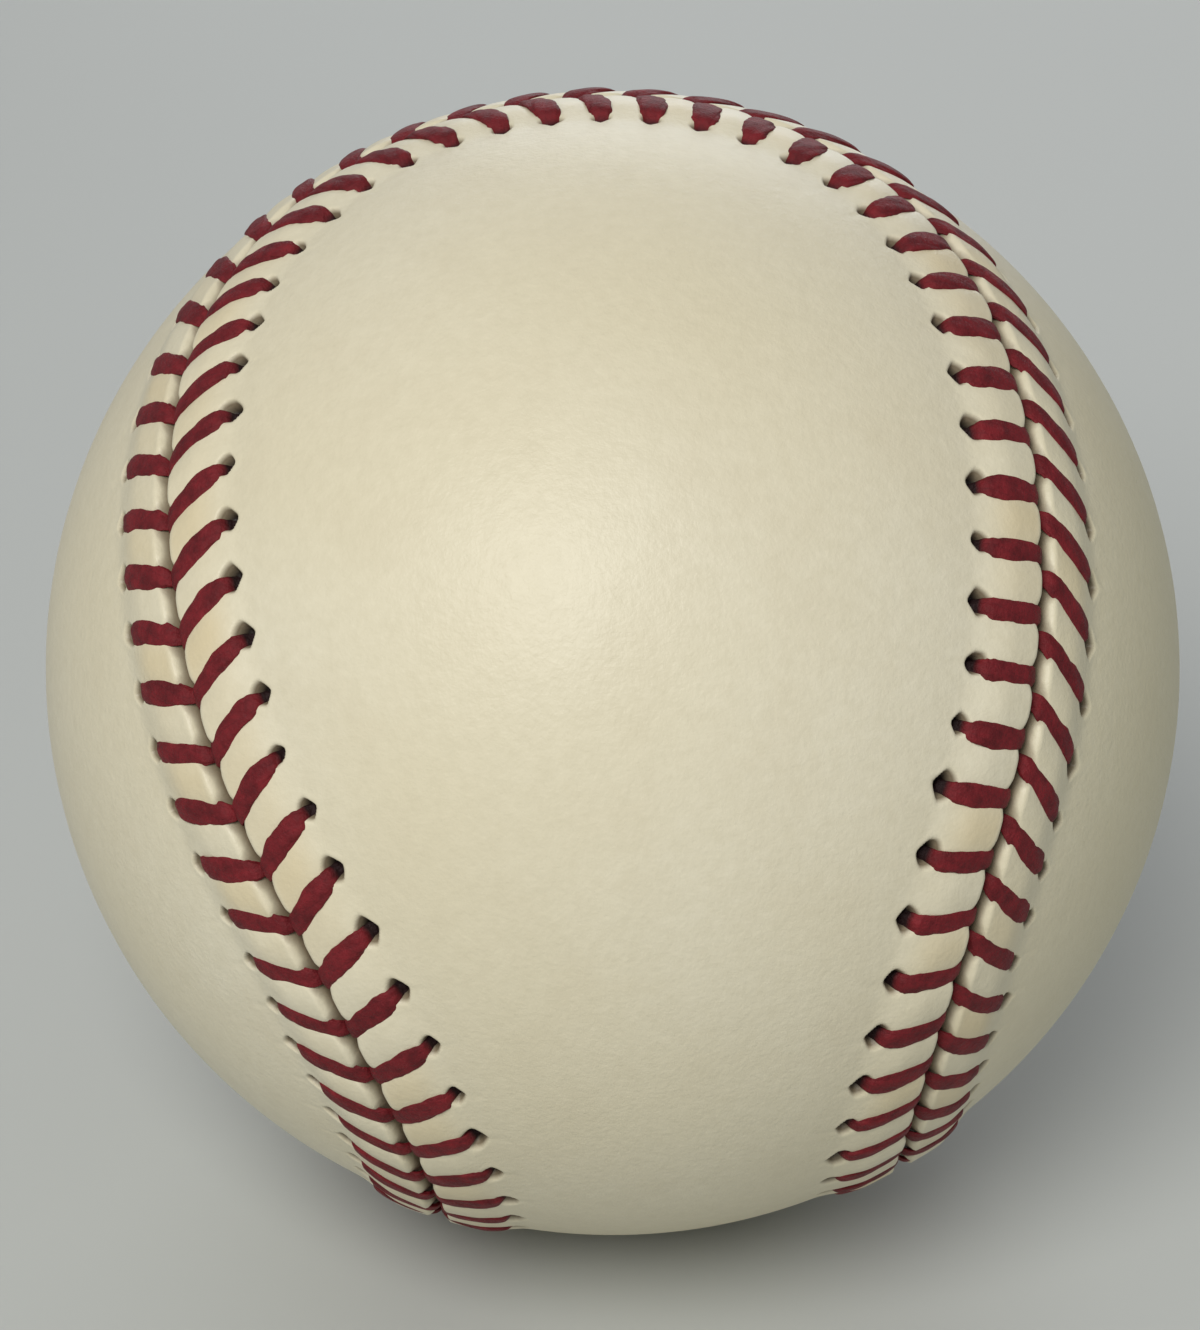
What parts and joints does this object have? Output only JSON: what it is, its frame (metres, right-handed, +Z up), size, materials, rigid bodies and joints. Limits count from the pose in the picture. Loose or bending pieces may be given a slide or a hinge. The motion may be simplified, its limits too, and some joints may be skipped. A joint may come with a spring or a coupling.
{
  "type": "baseball",
  "caption": "Leather baseball with a raised stitched seam over wound yarn and a cushioned cork core, at official size.",
  "frame": {"origin": "centre of the ball", "axes": "Z up and -Y towards the viewer, as the ball lies in the picture; the seam lies at the angles seen there"},
  "size_m": [0.0744, 0.0744, 0.0745],
  "materials": {
    "cork": "moulded cork and rubber grains",
    "black_rubber": "moulded, matte",
    "red_rubber": "moulded, matte",
    "gray_wool": "wound yarn",
    "white_wool": "wound yarn",
    "finishing_yarn": "fine wound yarn",
    "rubber_cement": "dried, slightly glossy",
    "cover_leather": "smooth tanned leather, fine grain, matte",
    "red_thread": "waxed twisted cotton"
  },
  "bodies": {
    "root": {"cork_core": "cork", "black_shell_upper": "black_rubber", "black_shell_lower": "black_rubber", "shell_washer": "red_rubber", "red_cushion_layer": "red_rubber", "first_winding_gray_wool": "gray_wool", "second_winding_white_wool": "white_wool", "third_winding_gray_wool": "gray_wool", "finishing_winding_white": "finishing_yarn", "cement_coat": "rubber_cement", "cover_panel_a": "cover_leather", "cover_panel_b": "cover_leather", "thread_a": "red_thread", "thread_b": "red_thread"}
  },
  "joints": []
}
